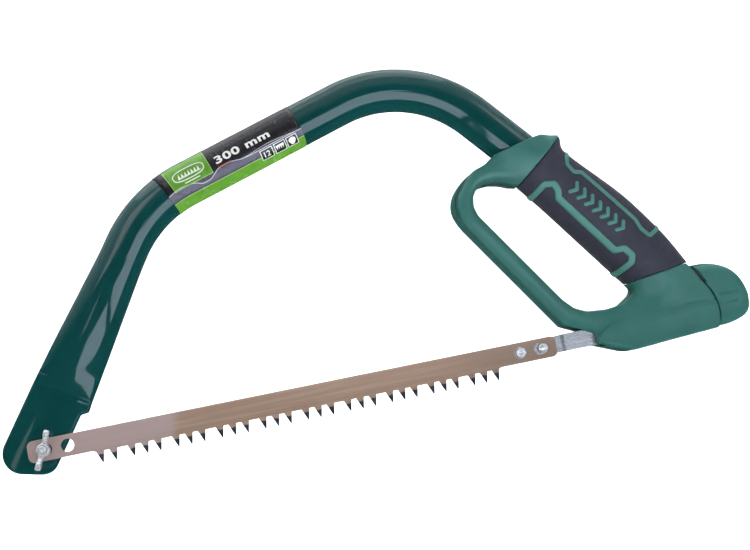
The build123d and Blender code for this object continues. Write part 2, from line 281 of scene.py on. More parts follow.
class Finish:
    """One procedural material: a Principled shader with layers of noise on its colour, gloss and relief."""

    def __init__(self, name, colour, roughness, metallic=0.0, specular=0.5, sheen=0.0):
        self.mat = bpy.data.materials.new(name)
        self.mat.use_nodes = True
        self.nodes, self.links = self.mat.node_tree.nodes, self.mat.node_tree.links
        self.shader = self.nodes["Principled BSDF"]
        self.shader.inputs["Base Color"].default_value = (*colour, 1)
        self.shader.inputs["Roughness"].default_value = roughness
        self.shader.inputs["Metallic"].default_value = metallic
        self.shader.inputs["Specular IOR Level"].default_value = specular
        self.shader.inputs["Sheen Weight"].default_value = sheen
        self.coords = self.nodes.new("ShaderNodeTexCoord").outputs["Object"]
        self.relief = None
        self.colour = None
        self.base = colour

    def stretched(self, scale):
        mapping = self.nodes.new("ShaderNodeMapping")
        mapping.inputs["Scale"].default_value = scale
        self.links.new(self.coords, mapping.inputs["Vector"])
        return mapping.outputs["Vector"]

    def noise(self, scale, detail=4.0, stretch=None):
        node = self.nodes.new("ShaderNodeTexNoise")
        node.inputs["Scale"].default_value = scale
        node.inputs["Detail"].default_value = detail
        node.inputs["Roughness"].default_value = NOISE_ROUGHNESS
        self.links.new(self.stretched(stretch) if stretch else self.coords, node.inputs["Vector"])
        return node.outputs["Fac"]

    def cells(self, scale):
        node = self.nodes.new("ShaderNodeTexVoronoi")
        node.inputs["Scale"].default_value = scale
        self.links.new(self.coords, node.inputs["Vector"])
        return node.outputs["Distance"]

    def ramp(self, value, low, high, to_low=0.0, to_high=1.0):
        node = self.nodes.new("ShaderNodeMapRange")
        node.interpolation_type = "SMOOTHSTEP"
        for socket, number in zip(("From Min", "From Max", "To Min", "To Max"), (low, high, to_low, to_high)):
            node.inputs[socket].default_value = number
        self.links.new(value, node.inputs["Value"])
        return node.outputs["Result"]

    def axis(self, name):
        node = self.nodes.new("ShaderNodeSeparateXYZ")
        self.links.new(self.coords, node.inputs["Vector"])
        return node.outputs[name]

    def combine(self, a, b, how="MULTIPLY"):
        node = self.nodes.new("ShaderNodeMath")
        node.operation = how
        self.links.new(a, node.inputs[0])
        if isinstance(b, (int, float)):
            node.inputs[1].default_value = b
        else:
            self.links.new(b, node.inputs[1])
        return node.outputs["Value"]

    def tint(self, mask, colour):
        """Paints a colour where the mask is one."""
        node = self.nodes.new("ShaderNodeMix")
        node.data_type = "RGBA"
        self.links.new(mask, node.inputs["Factor"])
        if self.colour is None:
            node.inputs["A"].default_value = (*self.base, 1)
        else:
            self.links.new(self.colour, node.inputs["A"])
        node.inputs["B"].default_value = (*colour, 1)
        self.colour = node.outputs["Result"]
        self.links.new(self.colour, self.shader.inputs["Base Color"])

    def gloss(self, value, low, high, rough_low, rough_high):
        self.links.new(self.ramp(value, low, high, rough_low, rough_high), self.shader.inputs["Roughness"])

    def bump(self, value, distance, strength=1.0):
        node = self.nodes.new("ShaderNodeBump")
        node.inputs["Strength"].default_value = strength
        node.inputs["Distance"].default_value = distance
        self.links.new(value, node.inputs["Height"])
        if self.relief is not None:
            self.links.new(self.relief, node.inputs["Normal"])
        self.relief = node.outputs["Normal"]
        self.links.new(self.relief, self.shader.inputs["Normal"])


def shade(r, g, b):
    """A colour given as it looks on a screen, 0 to 255, turned to linear light."""
    return tuple((c / 255 / 12.92) if c <= 10 else ((c / 255 + 0.055) / 1.055) ** 2.4 for c in (r, g, b))


def make_paint():
    f = Finish("green_gloss_paint", shade(9, 64, 65), 0.12)
    f.tint(f.ramp(f.noise(45), 0.35, 0.7, 0, 0.5), shade(7, 57, 58))
    f.tint(f.ramp(f.noise(900, 2), 0.62, 0.8, 0, 0.10), shade(36, 98, 98))
    f.gloss(f.noise(160), 0.3, 0.75, 0.05, 0.09)
    f.bump(f.noise(420, 2), 0.00002, 0.35)
    return f.mat


def make_moulding():
    f = Finish("green_moulding", shade(44, 106, 100), 0.42, specular=0.4)
    f.tint(f.ramp(f.noise(60), 0.3, 0.75, 0, 0.6), shade(37, 98, 93))
    f.tint(f.ramp(f.noise(1500, 3), 0.6, 0.8, 0, 0.25), shade(66, 128, 120))
    # painted shade: darker towards the parting line, from 7.5 to 4.5 mm away on both sides, where the guard's
    # walls and the handle's edges stand in shade
    across = f.axis("Y")
    f.tint(f.ramp(f.combine(across, across), 0.0045**2, 0.0075**2, 0.75, 0), shade(22, 76, 70))
    f.gloss(f.noise(300), 0.3, 0.7, 0.34, 0.5)
    f.bump(f.noise(2600, 3), 0.00005, 0.35)
    return f.mat


def make_light_moulding():
    f = Finish("light_green_moulding", shade(66, 127, 117), 0.45, specular=0.4)
    f.tint(f.ramp(f.noise(120), 0.3, 0.75, 0, 0.6), shade(57, 117, 107))
    f.gloss(f.noise(300), 0.3, 0.7, 0.38, 0.55)
    f.bump(f.noise(2600, 3), 0.00005, 0.35)
    return f.mat


def make_rubber():
    f = Finish("charcoal_rubber", shade(40, 41, 56), 0.6, specular=0.3, sheen=0.06)
    f.tint(f.ramp(f.noise(70), 0.3, 0.75, 0, 0.7), shade(48, 48, 64))
    f.tint(f.ramp(f.noise(1200, 3), 0.6, 0.85, 0, 0.3), shade(66, 65, 80))
    f.gloss(f.noise(260), 0.3, 0.7, 0.5, 0.68)
    f.bump(f.cells(2600), 0.00008, 0.4)
    f.bump(f.noise(700, 3), 0.00006, 0.3)
    return f.mat


def make_blade():
    f = Finish("blade_steel", shade(170, 141, 122), 0.36, metallic=0.3)
    along = f.noise(1.0, 4, stretch=(18, 400, 2600))
    f.tint(f.ramp(along, 0.3, 0.7, 0, 0.55), shade(142, 119, 104))
    wide = f.noise(1.0, 2, stretch=(9, 60, 300))
    f.tint(f.ramp(wide, 0.45, 0.7, 0, 0.45), shade(192, 169, 151))
    x = f.axis("X")
    f.tint(f.ramp(x, 0.0, 0.11, 0, 0.62), shade(130, 112, 100))
    # a rosier stretch at the front, with a slanted end, and dark hardened tooth tips with a ragged edge
    slant = f.combine(x, f.combine(f.axis("Z"), -0.25), "ADD")
    f.tint(f.ramp(slant, -0.1370, -0.1290, 0.8, 0), shade(178, 158, 158))
    ragged = f.combine(f.axis("Z"), f.combine(f.noise(500, 3), 0.0022), "ADD")
    f.tint(f.ramp(ragged, 0.0058, 0.0066, 1, 0), shade(50, 56, 72))
    f.gloss(along, 0.3, 0.7, 0.28, 0.46)
    f.bump(along, 0.00003, 0.5)
    return f.mat


def make_zinc():
    f = Finish("zinc_steel", shade(238, 241, 245), 0.24, metallic=0.6)
    f.tint(f.ramp(f.noise(700, 4), 0.4, 0.75, 0, 0.6), shade(196, 200, 208))
    f.gloss(f.noise(900), 0.3, 0.7, 0.14, 0.3)
    f.bump(f.noise(900, 2), 0.00006, 0.25)
    return f.mat


def make_bright():
    f = Finish("bright_steel", shade(190, 190, 190), 0.2, metallic=0.85)
    grain = f.noise(1.0, 3, stretch=(60, 900, 2400))
    f.tint(f.ramp(grain, 0.3, 0.7, 0, 0.5), shade(150, 152, 156))
    f.gloss(grain, 0.3, 0.7, 0.12, 0.28)
    f.bump(grain, 0.00002, 0.4)
    return f.mat


def make_plain_steel():
    f = Finish("plain_steel", shade(150, 152, 158), 0.35, metallic=1.0)
    f.tint(f.ramp(f.noise(500, 4), 0.4, 0.75, 0, 0.7), shade(112, 112, 118))
    f.gloss(f.noise(700), 0.3, 0.7, 0.28, 0.46)
    f.bump(f.noise(1500, 3), 0.00004, 0.4)
    return f.mat


def make_print(name, colour, other):
    """Ink on glossy film, with slightly uneven ink and a few fine scuffs."""
    f = Finish(name, shade(*colour), 0.22, specular=0.45)
    f.tint(f.ramp(f.noise(140), 0.35, 0.7, 0, 0.7), shade(*other))
    f.tint(f.ramp(f.noise(1.0, 3, stretch=(120, 900, 1400)), 0.66, 0.8, 0, 0.25), shade(170, 175, 175))
    f.gloss(f.noise(200), 0.3, 0.7, 0.16, 0.3)
    f.bump(f.noise(500, 2), 0.00003, 0.3)
    return f.mat


PAINT = make_paint()
MOULDING = make_moulding()
LIGHT_MOULDING = make_light_moulding()
RUBBER = make_rubber()
BLADE = make_blade()
ZINC = make_zinc()
BRIGHT = make_bright()
STEEL = make_plain_steel()
INK_BLACK = make_print("ink_black", (30, 29, 34), (42, 40, 46))
INK_GREEN = make_print("ink_green", (90, 148, 44), (102, 162, 54))
INK_WHITE = make_print("ink_white", (236, 238, 236), (222, 226, 224))
INK_GREY = make_print("ink_grey", (80, 77, 96), (62, 59, 78))
INK_PALE = make_print("ink_pale", (160, 205, 120), (150, 195, 110))
INK_ORANGE = make_print("ink_orange", (190, 90, 70), (170, 80, 66))
INK_WHITE_SOFT = make_print("ink_soft_line", (196, 192, 204), (176, 172, 190))


# ---------------------------------------------------------------- making pieces
def ring_quads(rings, around):
    """Quads between rings of points, where the rings follow one another in the list of points."""
    quads = []
    for i in range(rings - 1):
        for k in range(around):
            m = (k + 1) % around
            quads.append((i * around + k, i * around + m, (i + 1) * around + m, (i + 1) * around + k))
    return quads


def capped_rings(rings, around):
    """Faces of a solid made of rings, with a flat face on the first and the last."""
    first = tuple(range(around - 1, -1, -1))
    last = tuple((rings - 1) * around + k for k in range(around))
    return ring_quads(rings, around) + [first, last]


def bowl(rings, around):
    """Faces of a bowl made of rings, seen from inside, with a flat face on the first ring."""
    return [(a, d, c, b) for a, b, c, d in ring_quads(rings, around)] + [tuple(range(around))]


def piece(name, points, faces, mat, body, stands_for=()):
    """A mesh in the row frame from millimetre points, riding on a body."""
    mesh = bpy.data.meshes.new(name)
    mesh.from_pydata(place(points).tolist(), [], [tuple(map(int, f)) for f in faces])
    mesh.validate()
    mesh.materials.append(mat)
    mesh.polygons.foreach_set("use_smooth", [True] * len(mesh.polygons))
    mesh.update()
    obj = bpy.data.objects.new(name, mesh)
    bpy.context.scene.collection.objects.link(obj)
    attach(obj, body)
    if stands_for:
        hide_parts(*stands_for)


def field_piece(name, block, distance, mat, body, stands_for=()):
    points, quads = block.skin(distance)
    piece(name, points, quads, mat, body, stands_for)


# ---------------------------------------------------------------- the bent tube
def tube_line():
    """A function that gives the point and heading at a distance from the leg's foot, the tube's whole
    length, and the start, end and turn of each straight and bend."""
    headings = [LEG_ANGLE, LABEL_ANGLE, GRIP_ANGLE]
    end = toward(GRIP_TOP, GRIP_ANGLE, TUBE_END)
    corners = [LEG_FOOT, FRONT_BEND, REAR_BEND, end]
    legs = [math.dist(a, b) for a, b in zip(corners, corners[1:])]
    trims = [0.0]
    for a, b in zip(headings, headings[1:]):
        trims.append(BEND_R * math.tan(math.radians(abs(b - a)) / 2))
    trims.append(0.0)
    stations, run = [], 0.0
    for i, heading in enumerate(headings):
        straight = legs[i] - trims[i] - trims[i + 1]
        start = toward(corners[i], heading, trims[i])
        stations.append((run, straight, start, heading, None))
        run += straight
        if i + 1 < len(headings):
            turn = headings[i + 1] - heading
            arc = BEND_R * math.radians(abs(turn))
            stations.append((run, arc, toward(start, heading, straight), heading, turn))
            run += arc

    def at(s):
        for start_s, length, start, heading, turn in stations:
            if s <= start_s + length + 1e-9 or stations[-1][0] == start_s:
                u = s - start_s
                if turn is None:
                    return toward(start, heading, u), heading
                side = 90 if turn > 0 else -90
                centre = toward(start, heading + side, BEND_R)
                now = heading + turn * u / length
                return toward(centre, now - side, BEND_R), now

    return at, run, [(round(a, 3), round(a + b, 3), turn) for a, b, _, _, turn in stations]


TUBE_LINE = tube_line()
FLAT_END = 36.8
RIM_R = 1.55


def make_tube():
    at, total, parts = TUBE_LINE
    edge = rounded(NOSE, steps=14)
    a = math.radians(LEG_ANGLE)
    rel = edge - np.array(LEG_FOOT)
    edge_s = rel[:, 0] * math.cos(a) + rel[:, 1] * math.sin(a)
    edge_n = -rel[:, 0] * math.sin(a) + rel[:, 1] * math.cos(a)
    lowest = edge_s.min()

    def span(s):
        """Where the nose's outline starts and ends across the leg at station s."""
        found = []
        for i in range(len(edge_s)):
            j = (i + 1) % len(edge_s)
            if (edge_s[i] - s) * (edge_s[j] - s) <= 0 and edge_s[i] != edge_s[j]:
                t = (s - edge_s[i]) / (edge_s[j] - edge_s[i])
                found.append(edge_n[i] + t * (edge_n[j] - edge_n[i]))
        return (min(found), max(found)) if found else (0.0, 0.0)

    def rim(s, n):
        """Distance in from the nose's outline."""
        u, w = edge_s, edge_n
        du, dw = np.roll(u, -1) - u, np.roll(w, -1) - w
        t = np.clip(((s - u) * du + (n - w) * dw) / np.maximum(du * du + dw * dw, 1e-9), 0, 1)
        away = np.hypot(s - u - t * du, n - w - t * dw)
        open_end = np.minimum(u, np.roll(u, -1)) > FLAT_END - 1.0
        away[open_end] = FAR
        return away.min()

    around = 96
    angles = np.linspace(0, 2 * math.pi, around, endpoint=False)
    near_tip = [lowest + 0.004 + 9.0 * (k / 24) ** 2 for k in range(25)]
    runs = near_tip + list(np.arange(near_tip[-1] + 0.6, 50, 0.6)) + list(np.arange(50, parts[0][1], 1.5))
    for start, stop, turn in parts[1:]:
        steps = max(2, round((stop - start) / (1.3 if turn else 5)))
        runs += list(np.linspace(start, stop, steps, endpoint=False))
    runs.append(total)
    wide_s, wide_v = [30, 62, 95, 125, 140], [18.05, 16.4, 14.5, 13.1, 13.1]
    deep_s, deep_v = [FLAT_END, 46, 62, 80, 95, 112, 125, 140], [1.55, 3.9, 7.4, 10.0, 11.6, 12.8, 13.1, 13.1]
    points = []
    for s in runs:
        (x, z), heading = at(s)
        h = math.radians(heading)
        across = (-math.sin(h), math.cos(h))
        flat = float(np.clip((52 - s) / (52 - FLAT_END), 0, 1))
        deep = float(smooth_table(deep_s, deep_v, min(max(s, FLAT_END), 140)))
        wide = float(smooth_table(wide_s, wide_v, min(max(s, 30), 140)))
        low, high = -wide, wide
        if s < FLAT_END:
            low, high = span(s)
            mix = max(0.0, (s - 31) / (FLAT_END - 31))
            if mix > 0:
                low, high = low + (-wide - low) * mix, high + (wide - high) * mix
        for angle in angles:
            c, v = math.cos(angle), math.sin(angle)
            n = (low + high) / 2 + (high - low) / 2 * c
            inset = (high - low) / 2 * (1 - abs(c))
            if s < FLAT_END:
                inset = min(inset, rim(s, n))
            t = min(inset / (RIM_R + 2.5 * (1 - flat)), 1.0)
            pressed = math.sqrt(max(0.0, 1 - (1 - t) ** 2))
            y = deep * (pressed * flat + abs(v) * (1 - flat))
            if v > 0:
                y = -y
            if s < 60:
                y += dents(s, n) * (1 if v > 0 else -1)
                # the nose bends away a little on its front side
                y += 0.009 * max(0.0, n - 3.0) ** 2 * min(1.0, max(0.0, (56 - s) / 20))
            points.append((x + across[0] * n, y, z + across[1] * n))
    faces = capped_rings(len(runs), around)
    piece("frame_tube_skin", points, faces, PAINT, "frame", ["frame_tube"])


def dents(s, n):
    """Small press marks where the flattening dies begin: one from each edge of the nose."""
    left = math.exp(-(((s - 42.2) / 0.55) ** 2)) * max(0.0, min(1.0, (n - 9.5) / 3)) * 0.45
    right = math.exp(-(((s - 34.0) / 0.7) ** 2)) * max(0.0, min(1.0, (-9 - n) / 3)) * 0.3
    return left + right


make_tube()

# ---------------------------------------------------------------- the printed sleeve
def wrap(flat, lift):
    """Points given as (distance along the tube, distance round it), laid on the sleeve."""
    at, _, parts = TUBE_LINE
    tangent = BEND_R * math.tan(math.radians(LEG_ANGLE - LABEL_ANGLE) / 2)
    points = []
    for s, v in flat:
        short = tangent - s
        station = parts[2][0] - (BEND_R * math.asin(short / BEND_R) if short > 0 else short)
        (x, z), heading = at(station)
        h = math.radians(heading)
        n, y = (LABEL_R + lift) * math.sin(v / LABEL_R), -(LABEL_R + lift) * math.cos(v / LABEL_R)
        points.append((x - n * math.sin(h), y, z + n * math.cos(h)))
    return points


def sticker_mesh(outlines):
    """Flat outlines made into triangles."""
    bm = bmesh.new()
    for line in outlines:
        bm.faces.new([bm.verts.new((p[0], p[1], 0)) for p in line])
    bmesh.ops.triangulate(bm, faces=bm.faces[:])
    return bm


def slice_round(bm):
    """Cuts a flat mesh finely enough to bend round the tube, and along it where the tube bends."""
    for row in np.arange(-42, 42, 0.9):
        geom = bm.verts[:] + bm.edges[:] + bm.faces[:]
        low, high = min(v.co.y for v in bm.verts), max(v.co.y for v in bm.verts)
        if low < row < high:
            bmesh.ops.bisect_plane(bm, geom=geom, plane_co=(0, row, 0), plane_no=(0, 1, 0))
    for column in np.arange(13.8, 29.0, 1.1):
        geom = bm.verts[:] + bm.edges[:] + bm.faces[:]
        low, high = min(v.co.x for v in bm.verts), max(v.co.x for v in bm.verts)
        if low < column < high:
            bmesh.ops.bisect_plane(bm, geom=geom, plane_co=(column, 0, 0), plane_no=(1, 0, 0))


def sticker(name, bm, lift, mat):
    slice_round(bm)
    bm.verts.index_update()
    flat = [v.co[:2] for v in bm.verts]
    faces = [[v.index for v in f.verts] for f in bm.faces]
    bm.free()
    piece(name, wrap(flat, lift), faces, mat, "frame")


def rectangle(s0, v0, s1, v1):
    return [(s0, v0), (s1, v0), (s1, v1), (s0, v1)]


def ribbon(line, half):
    """A strip of constant width along a line, as quads."""
    line = np.asarray(line, float)
    ahead = np.gradient(line, axis=0)
    ahead /= np.linalg.norm(ahead, axis=1)[:, None]
    side = np.stack([-ahead[:, 1], ahead[:, 0]], 1) * half
    left, right = line + side, line - side
    corners = [(right[i], right[i + 1], left[i + 1], left[i]) for i in range(len(line) - 1)]
    return [[tuple(corner) for corner in quad] for quad in corners]


def text_mesh(words, size, s, v, wide=1.0, spacing=1.0, thick=0.0):
    """Plain lettering as flat faces, its first letter's foot at (s, v)."""
    curve = bpy.data.curves.new("words", "FONT")
    curve.body = words
    curve.size = size
    curve.offset = thick
    curve.space_character = spacing
    obj = bpy.data.objects.new("words", curve)
    bpy.context.scene.collection.objects.link(obj)
    bpy.context.view_layer.update()
    mesh = bpy.data.meshes.new_from_object(obj.evaluated_get(bpy.context.evaluated_depsgraph_get()))
    bm = bmesh.new()
    bm.from_mesh(mesh)
    for vert in bm.verts:
        vert.co.x = vert.co.x * wide + s
        vert.co.y += v
        vert.co.z = 0
    bpy.data.objects.remove(obj)
    bpy.data.curves.remove(curve)
    bpy.data.meshes.remove(mesh)
    return bm


def make_label():
    around, along = 72, 30
    s = np.linspace(LABEL_START, LABEL_END, along)
    v = np.linspace(-math.pi * LABEL_R, math.pi * LABEL_R, around, endpoint=False)
    flat = [(a, b) for a in s for b in v]
    points = wrap(flat, 0.0) + wrap(flat, -0.25)
    faces = []
    half = along * around
    for quad in ring_quads(along, around):
        faces += [quad[::-1], tuple(p + half for p in quad)]
    for k in range(around):
        m = (k + 1) % around
        last = (along - 1) * around
        faces += [(k, m, half + m, half + k), (last + m, last + k, half + last + k, half + last + m)]
    piece("label_sleeve", points, faces, INK_BLACK, "frame", ["frame_label"])

    wave = [
        (LABEL_START, -3.5), (20, -2.8), (26.4, -3.2), (30.5, -4.1), (36.0, -6.6), (40.0, -6.4), (43.6, -4.6),
        (47.0, -2.9), (52, -2.5), (57.1, -3.1), (61.1, -4.2), (68, -4.7), (80, -4.5), (LABEL_END, -4.6),
    ]
    wave_s = np.linspace(LABEL_START, LABEL_END, 120)
    wave_v = smooth_table([p[0] for p in wave], [p[1] for p in wave], wave_s)
    band_top, band_foot = -9.4, -25.5
    outline = list(zip(wave_s, wave_v)) + [(LABEL_END, band_top), (LABEL_START, band_top)]
    bm = sticker_mesh([outline])
    sticker("label_wave", bm, 0.02, INK_GREY)
    sticker("label_wave_line", sticker_mesh(ribbon(list(zip(wave_s, wave_v)), 0.22)), 0.035, INK_WHITE_SOFT)
    second = list(zip(wave_s[60:], wave_v[60:] + 1.4 * np.sin(np.linspace(0, math.pi, 60)) ** 2))
    sticker("label_wave_second", sticker_mesh(ribbon(second, 0.14)), 0.035, INK_WHITE_SOFT)

    band = rectangle(LABEL_START, band_foot, LABEL_END, band_top)
    sticker("label_band", sticker_mesh([band]), 0.03, INK_GREEN)
    band_edge = rectangle(LABEL_START, band_top - 0.35, LABEL_END, band_top + 0.1)
    sticker("label_band_edge", sticker_mesh([band_edge]), 0.045, INK_PALE)
    sticker("label_box", sticker_mesh([rectangle(17.8, -3.5, 43.0, 13.6)]), 0.04, INK_GREEN)
    frame_line = [rectangle(17.6, -3.75, 43.2, -3.4), rectangle(17.6, 13.5, 43.2, 13.85)]
    frame_line += [rectangle(17.6, -3.4, 17.95, 13.5), rectangle(42.85, -3.4, 43.2, 13.5)]
    sticker("label_box_edge", sticker_mesh(frame_line), 0.055, INK_PALE)

    # a plain oval badge with a row of teeth in it
    t = np.linspace(0, 2 * math.pi, 49)

    def squared(value):
        return math.copysign(abs(value) ** 0.7, value)

    oval = [(30.4 + 9.6 * squared(math.cos(a)), 3.4 + 3.5 * squared(math.sin(a))) for a in t]
    sticker("label_badge", sticker_mesh(ribbon(oval, 0.3)), 0.06, INK_WHITE)
    teeth = []
    for k in range(7):
        x = 23.4 + 2.05 * k
        teeth.append([(x, 2.2), (x + 1.0, 4.9), (x + 1.45, 2.2)])
    teeth.append(rectangle(23.2, 1.6, 37.6, 2.25))
    sticker("label_badge_teeth", sticker_mesh(teeth), 0.06, INK_WHITE)
    sticker("label_badge_rule", sticker_mesh([rectangle(25.6, -2.0, 35.6, -1.4)]), 0.06, INK_WHITE)

    words = text_mesh("300 mm", 6.3, 46.8, -0.2, wide=1.62, thick=0.2, spacing=1.1)
    sticker("label_size", words, 0.05, INK_WHITE)
    strip = [rectangle(47.0 + 1.5 * k, -2.9, 48.0 + 1.5 * k, -2.0) for k in range(6)]
    sticker("label_dashes", sticker_mesh(strip), 0.05, INK_ORANGE)

    low, high, border = -12.2, -5.4, 0.4
    for k, (s0, s1) in enumerate(((72.8, 80.8), (82.0, 89.3), (90.2, 97.3))):
        sticker(f"label_sign_{k + 1}", sticker_mesh([rectangle(s0, low, s1, high)]), 0.06, INK_WHITE)
        field = rectangle(s0 + border, low + border, s1 - border, high - border)
        sticker(f"label_sign_{k + 1}_field", sticker_mesh([field]), 0.07, INK_BLACK)
    sticker("label_sign_1_mark", text_mesh("12", 5.0, 73.9, -10.6, thick=0.05), 0.08, INK_WHITE)
    saw = [rectangle(83.0, -8.2, 88.2, -7.0)]
    for k in range(4):
        saw.append([(83.1 + 1.3 * k, -8.2), (84.0 + 1.3 * k, -8.2), (83.6 + 1.3 * k, -10.2)])
    sticker("label_sign_2_mark", sticker_mesh(saw), 0.08, INK_WHITE)
    drop = [(93.75 + 2.1 * math.sin(a) * (1 - 0.35 * math.cos(a)), -8.9 + 2.4 * -math.cos(a)) for a in t[:-1]]
    sticker("label_sign_3_mark", sticker_mesh([drop[::-1]]), 0.08, INK_WHITE)


make_label()

# ---------------------------------------------------------------- the D handle and its housing
# outlines in the plane of the saw, as (x, z) or (x, z, radius)
GUARD = [
    (311.0, 124.0), (294.2, 118.6), (274.6, 113.6, 34), (264.0, 101.4, 18), (261.6, 92.6, 15),
    (265.0, 83.0, 40), (313.6, 10.8, 2), (330.0, 3.0, 4), (345.0, -6.0, 4), (388.0, -6.0, 4),
    (394.0, 30.0, 4), (380.0, 34.0, 4), (366.0, 33.0, 2), (362.0, 22.0, 8), (353.0, 16.6, 6),
    (340.7, 15.6, 6), (329.0, 16.7, 7), (321.6, 20.2, 6), (315.4, 26.7, 6), (275.2, 86.4, 5),
    (273.8, 92.0, 4), (274.8, 98.0, 3), (277.4, 101.9, 3), (281.8, 104.2, 3), (288.2, 104.8, 4),
    (294.4, 103.7, 4), (301.0, 101.6, 2), (312.0, 105.0),
]
STEP = [
    (311.0, 124.0), (292.9, 118.6), (277.0, 113.6, 10), (264.2, 98.0, 14), (264.8, 84.0, 14), (277.3, 63.6),
    (310.6, 12.0, 2), (321.0, 5.8, 2), (330.0, 3.0, 4), (345.0, -6.0), (420.0, -6.0), (420.0, 124.0),
]
HOUSING = [
    (331.5, 4.0, 3), (331.5, -3.8, 2.5), (351.5, -12.0, 12), (425.0, -8.0, 4), (425.0, 34.0, 4),
    (392.0, 34.0, 8), (366.0, 14.5, 14), (345.0, 10.5, 10),
]
PLATE = [
    (331.5, 1.6, 3), (331.5, -3.8, 2.5), (351.5, -12.0, 12), (425.0, -8.0, 4), (425.0, 5.6), (406.4, 7.0),
    (393.3, 8.3), (365.4, 8.6), (341.5, 7.2, 8),
]
COLLAR_ZONE = [(291.0, 116.5), (293.6, 120.6), (322.5, 128.0), (337.6, 127.2), *COLLAR_LINE]
FOOT_ZONE = [(342.0, 33.0), (403.0, 41.6), (404, 10), (345, 10)]
SEAM_ZONE = [(240, -60), (383, -60), PIVOT, (403.2, 19.4), (396.2, 33.2), (390, 90), (390, 150), (240, 150)]
DRAWBAR_SLOT = [(320, -5.4), (353, -5.4), (362, -7), (400, -7), (400, 11), (362, 11), (350, 7), (320, 7)]
SLEEVE_REGION = [*COLLAR_LINE, *FOOT_LINE, (425.0, 60.0)]
HANDLE_LOW, HANDLE_HIGH = (253.0, -18.5, -15.0), (411.0, 18.5, 131.0)
THROUGH = 30.0  # a half thickness that reaches past both sides
DRAWBAR_SLOT_HALF = 5.4
WELL_R, WELL_DEPTH = 3.4, 3.6
TUBE_FIT = 0.15


def ridge_drop(block, a, b, slope):
    """How far a broad face falls away to each side of a ridge line."""
    along = np.array(b, float) - np.array(a, float)
    along /= np.linalg.norm(along)
    return np.abs((block.x2 - a[0]) * -along[1] + (block.z2 - a[1]) * along[0]) * slope


def guard_shape(b):
    """The D guard: an eased wall, its outer edge set back on the near side behind a narrow groove."""
    whole, step = b.outline(GUARD), b.outline(STEP)
    guard = b.slab(np.maximum(whole, step), GUARD_HALF, 6.0)
    guard = np.minimum(guard, b.slab(whole, 6.6, 2.2, middle=4.4))
    groove = np.maximum((np.abs(step - 1.0) - 0.55)[:, None, :], np.abs(b.y + 2.2) - 1.4)
    return cut(guard, groove, 0.4)


def lever_room(b):
    """The space in the housing for the lever's hub and arms as they swing."""
    swing = np.maximum(b.disc(PIVOT, CAP_R + 1), b.outline([
        PIVOT, toward(PIVOT, 62, 50), toward(PIVOT, 20, 80), toward(PIVOT, -60, 80), toward(PIVOT, -128, 60),
    ]))
    arms = b.outline([
        toward(PIVOT, 155, 10), toward(PIVOT, 78, 14), toward(PIVOT, 66, 22.5), toward(PIVOT, 48.5, 45),
        toward(PIVOT, 0, 50), toward(PIVOT, -20, 31), toward(PIVOT, -150, 10),
    ])
    return np.minimum(np.minimum(swing, arms), b.disc(PIVOT, 13))


def tube_bore(b):
    """The bore in the grip that the tube stands in."""
    along, across = (distance[:, None, :] for distance in b.grip_axes())
    return np.maximum(np.hypot(across, b.y) - TUBE_R - TUBE_FIT, along - TUBE_END - 0.5)


def make_handle():
    b = Block(HANDLE_LOW, HANDLE_HIGH, HANDLE_GRID)
    collar = keep(b.grip(0.4), b.outline(COLLAR_ZONE)[:, None, :], 1.0)
    foot = keep(b.grip(0.3), b.outline(FOOT_ZONE)[:, None, :], 1.0)
    depth = HOUSING_HALF + 0.1 - ridge_drop(b, (350.9, 1.4), (400.7, 5.4), 0.07)
    housing = join(b.slab(b.outline(HOUSING), depth - 0.8, 7.0), foot, 5.0)
    body = join(guard_shape(b), collar, 7.0)
    body = join(body, housing, 3.0)
    body = join(body, b.slab(b.outline(PLATE), depth, 2.2), 1.0)
    region = b.slab(b.outline(SLEEVE_REGION), THROUGH)
    body = cut(body, region, 0.35)
    body = np.minimum(body, keep(b.grip(-SLEEVE_THICK), region, 0.5))
    seam = np.minimum(b.disc(PIVOT, SEAM_R), b.outline(SEAM_ZONE))
    body = keep(body, seam[:, None, :], 0.8)
    body = cut(body, b.slab(b.outline(DRAWBAR_SLOT), DRAWBAR_SLOT_HALF), 0.5)
    body = cut(body, b.slab(lever_room(b), CAVITY_HALF), 0.5)
    body = cut(body, tube_bore(b), 0.5)
    for x, z, half in SCREWS:
        well = np.maximum(b.disc((x, z), WELL_R)[:, None, :], half - WELL_DEPTH - b.y)
        body = cut(body, well, 0.6)
    gap = 0.05
    for name, side in (("near", 1), ("far", -1)):
        toward_gap = b.y * side
        shell = keep(body, toward_gap + gap, 0.3)
        bevel = (body + toward_gap + 1.0) * 0.7071
        shell = np.maximum(shell, bevel)
        node = f"handle_shell_{name}"
        field_piece(f"handle_{name}", b, shell, MOULDING, "frame", [node])


make_handle()


def make_sleeve():
    b = Block((286.0, -18.5, 24.0), (404.0, 18.5, 134.0), HANDLE_GRID)
    region = b.outline(SLEEVE_REGION)[:, None, :] + 0.15
    shell = cut(keep(b.grip(0.0), region, 0.5), b.grip(-SLEEVE_THICK + 0.1), 0.3)
    field_piece("grip_rubber", b, shell, RUBBER, "frame", ["grip_sleeve"])


MARK_HEIGHT = 0.62


def raised(name, lines, half, node):
    """Lines standing proud of the grip on both sides, with soft edges."""
    pts = np.array([p[:2] for line in lines for p in line])
    low, high = pts.min(0) - half - 1.5, pts.max(0) + half + 1.5
    b = Block((low[0], -18.6, low[1]), (high[0], 18.6, high[1]), MARK_GRID)
    flat = b.strip(lines[0], half)
    for line in lines[1:]:
        flat = np.minimum(flat, b.strip(line, half))
    mark = keep(b.grip(MARK_HEIGHT), flat[:, None, :], 0.9)
    mark = keep(mark, b.outline(SLEEVE_REGION)[:, None, :] + 0.35, 0.6)
    mark = cut(mark, b.grip(-0.35), 0.3)
    field_piece(name, b, mark, LIGHT_MOULDING, "frame", [node])


